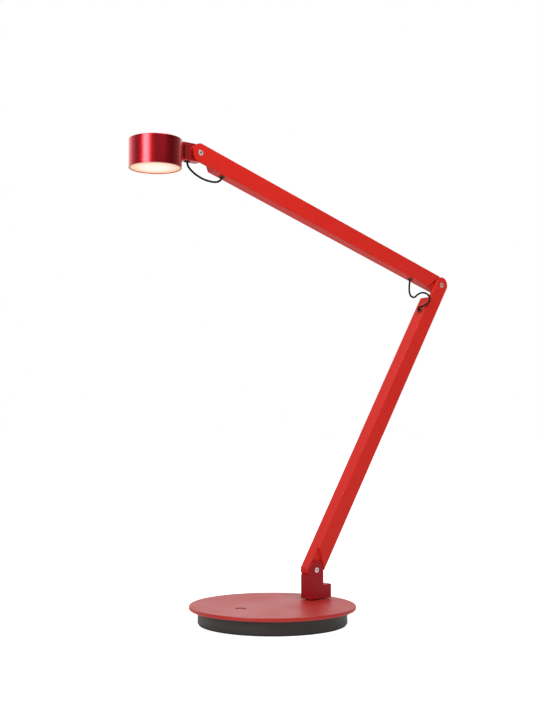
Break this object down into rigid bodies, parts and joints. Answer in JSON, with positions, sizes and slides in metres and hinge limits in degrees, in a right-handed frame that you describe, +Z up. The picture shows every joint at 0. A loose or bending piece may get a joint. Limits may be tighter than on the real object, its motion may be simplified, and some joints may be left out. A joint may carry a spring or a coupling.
{
  "type": "architect desk lamp",
  "caption": "Slim desk lamp: round weighted base, swivelling post, box-section arms on friction pivots and a drum-shaped head that tilts and rolls.",
  "frame": {"origin": "centre of the base pad's underside, on the desk", "axes": "+Z up; +X from the base's centre towards the post; -X is the side that the head reaches over; -Y is the side of the ears and the screws"},
  "size_m": [0.5896, 0.23, 0.6457],
  "materials": {
    "satin_red": "satin red powder coat over aluminium box section",
    "plate_red": "satin red powder coat on steel, with a soft sheen",
    "anodised_red": "glossy dark red anodised aluminium",
    "housing_grey": "matte dark grey-brown paint",
    "black_rubber": "matte black rubber",
    "black_plastic": "matte black moulded plastic",
    "button_grey": "matte rosy grey moulded plastic",
    "lead_black": "black flexible sheath",
    "nickel": "nickel-plated steel",
    "zinc_steel": "zinc-plated steel",
    "ballast_steel": "raw dark steel",
    "nylon": "natural nylon",
    "bare_aluminium": "bare milled aluminium",
    "board_green": "green circuit board",
    "led_yellow": "yellow phosphor over the light source",
    "white_plastic": "white moulded plastic",
    "diffuser_white": "opal white diffuser"
  },
  "bodies": {
    "base": {"base_plate": "plate_red", "base_housing": "housing_grey", "base_cover": "zinc_steel", "base_pad": "black_rubber", "ballast_disc": "ballast_steel", "base_screw_1": "zinc_steel", "base_screw_2": "zinc_steel", "base_screw_3": "zinc_steel", "base_screw_4": "zinc_steel", "dc_inlet": "black_plastic", "dc_inlet_pin": "nickel", "control_board": "board_green", "dimmer_switch": "black_plastic", "board_spacer_1": "nylon", "board_spacer_2": "nylon", "board_spacer_3": "nylon", "board_spacer_4": "nylon", "inlet_lead": "lead_black", "base_lead": "lead_black", "swivel_washer": "black_plastic", "swivel_stop_pin": "zinc_steel"},
    "dimmer_button": {"dimmer_button": "button_grey"},
    "post": {"post_bracket": "satin_red", "swivel_tube": "zinc_steel", "swivel_nut": "zinc_steel", "swivel_spring_washer": "zinc_steel", "swivel_stop_plate": "zinc_steel"},
    "lower_arm": {"lower_arm": "satin_red", "lower_arm_grommet": "black_rubber", "lower_arm_lead": "lead_black", "base_pivot_screw": "nickel", "base_friction_washer": "nylon", "base_pivot_nut": "zinc_steel", "base_jumper_lead": "lead_black"},
    "upper_arm": {"upper_arm": "satin_red", "upper_arm_elbow_grommet": "black_rubber", "upper_arm_head_grommet": "black_rubber", "upper_arm_lead": "lead_black", "elbow_pivot_screw": "nickel", "elbow_friction_washer": "nylon", "elbow_pivot_nut": "zinc_steel", "elbow_jumper_lead": "lead_black"},
    "neck": {"neck_block": "anodised_red", "neck_grommet": "black_rubber", "neck_lead": "lead_black", "head_pivot_screw": "nickel", "head_friction_washer": "nylon", "head_pivot_nut": "zinc_steel", "roll_axle": "zinc_steel", "roll_spring_washer": "zinc_steel", "roll_nut": "zinc_steel", "head_jumper_lead": "lead_black"},
    "head": {"head_boss": "anodised_red", "head_shell": "anodised_red", "heat_sink": "bare_aluminium", "led_board": "white_plastic", "led_chip": "led_yellow", "reflector": "white_plastic", "diffuser": "diffuser_white"}
  },
  "joints": [
    {"name": "base_swivel", "type": "hinge", "parent": "base", "child": "post", "pos_m": [0.074, 0, 0.03], "axis": [0, 0, 1], "range_deg": [-150, 150]},
    {"name": "base_tilt", "type": "hinge", "parent": "post", "child": "lower_arm", "pos_m": [0.074, 0, 0.0675], "axis": [0, -1, 0], "range_deg": [-12, 62], "deforming": ["base_jumper_lead"]},
    {"name": "elbow", "type": "hinge", "parent": "lower_arm", "child": "upper_arm", "pos_m": [0.34491, 0, 0.49487], "axis": [0, -1, 0], "range_deg": [-106, 23], "deforming": ["elbow_jumper_lead"]},
    {"name": "head_tilt", "type": "hinge", "parent": "upper_arm", "child": "neck", "pos_m": [-0.1314, 0, 0.63325], "axis": [0, -1, 0], "range_deg": [-50, 90], "deforming": ["head_jumper_lead"]},
    {"name": "head_roll", "type": "hinge", "parent": "neck", "child": "head", "pos_m": [-0.157, 0.00205, 0.63325], "axis": [-1, 0, 0], "range_deg": [-90, 90], "deforming": ["neck_lead"]},
    {"name": "dimmer_press", "type": "slide", "parent": "base", "child": "dimmer_button", "axis": [0, 0, -1], "range_m": [0, 0.0008], "stiffness_N_per_m": 800, "springref_m": -0.0003}
  ]
}
